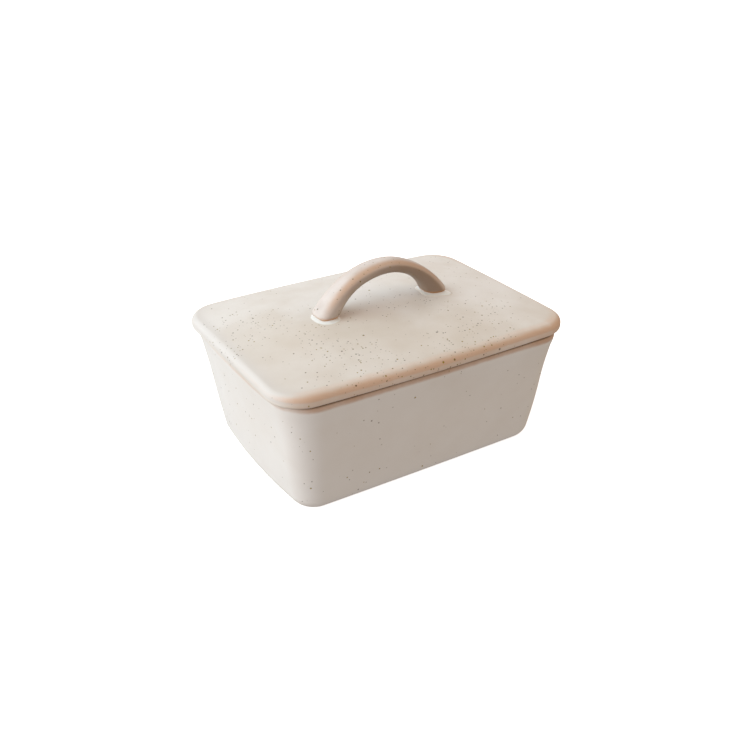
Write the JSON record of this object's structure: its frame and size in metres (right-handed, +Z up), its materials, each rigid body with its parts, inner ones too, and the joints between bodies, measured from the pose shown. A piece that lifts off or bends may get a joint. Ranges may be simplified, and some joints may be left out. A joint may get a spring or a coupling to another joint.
{
  "type": "butter crock",
  "caption": "Rectangular lidded stoneware butter crock with tapering walls, a softly crowned overhanging lid and a low arched strap handle.",
  "frame": {"origin": "centre of the plane the crock stands on", "axes": "+X along the long side, +Y across the width, +Z up and out of the lid"},
  "size_m": [0.1606, 0.1164, 0.0963],
  "materials": {
    "crock_glaze": "satin cream glaze with fine iron specks",
    "lid_glaze": "satin cream glaze, breaking tan on edges, dense dark specks",
    "bare_stoneware": "matt unglazed fired clay",
    "pooled_glaze": "glossy white pooled glaze"
  },
  "bodies": {
    "crock": {"crock_body": "crock_glaze"},
    "lid": {"lid_plate": "lid_glaze", "lid_locating_flange": "bare_stoneware", "lid_handle": "lid_glaze", "handle_collar_left": "pooled_glaze", "handle_collar_right": "pooled_glaze"}
  },
  "joints": [
    {"name": "lid_lift", "type": "slide", "parent": "crock", "child": "lid", "axis": [0, 0, 1], "range_m": [0, 0.12]}
  ]
}
